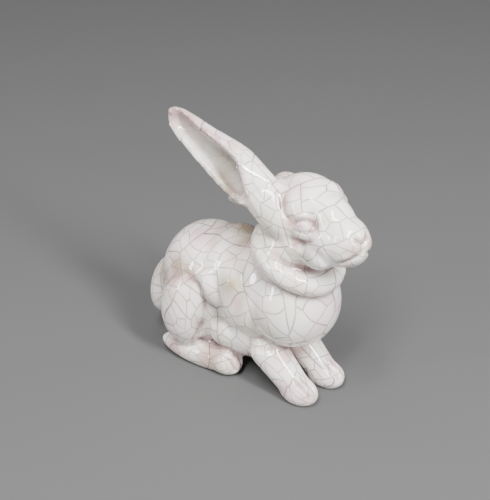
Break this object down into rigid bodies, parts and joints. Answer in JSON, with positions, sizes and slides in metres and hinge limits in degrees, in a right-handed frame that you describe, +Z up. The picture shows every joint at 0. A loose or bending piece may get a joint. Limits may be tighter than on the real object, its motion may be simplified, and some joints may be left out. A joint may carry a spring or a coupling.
{
  "type": "hare sculpture",
  "caption": "Sitting hare figure in crackle-glazed earthenware, head raised and turned, one ear up and one laid back, standing on its paws.",
  "frame": {"origin": "under the middle of the figure's bounding box, in the plane of its soles", "axes": "+X the way the hare faces, from tail to forepaws; +Y to the hare's left, the far side; +Z up"},
  "size_m": [0.1838, 0.0818, 0.1943],
  "materials": {
    "glaze": "glossy off-white glaze with a fine dark crackle"
  },
  "bodies": {
    "root": {"hare": "glaze"}
  },
  "joints": []
}
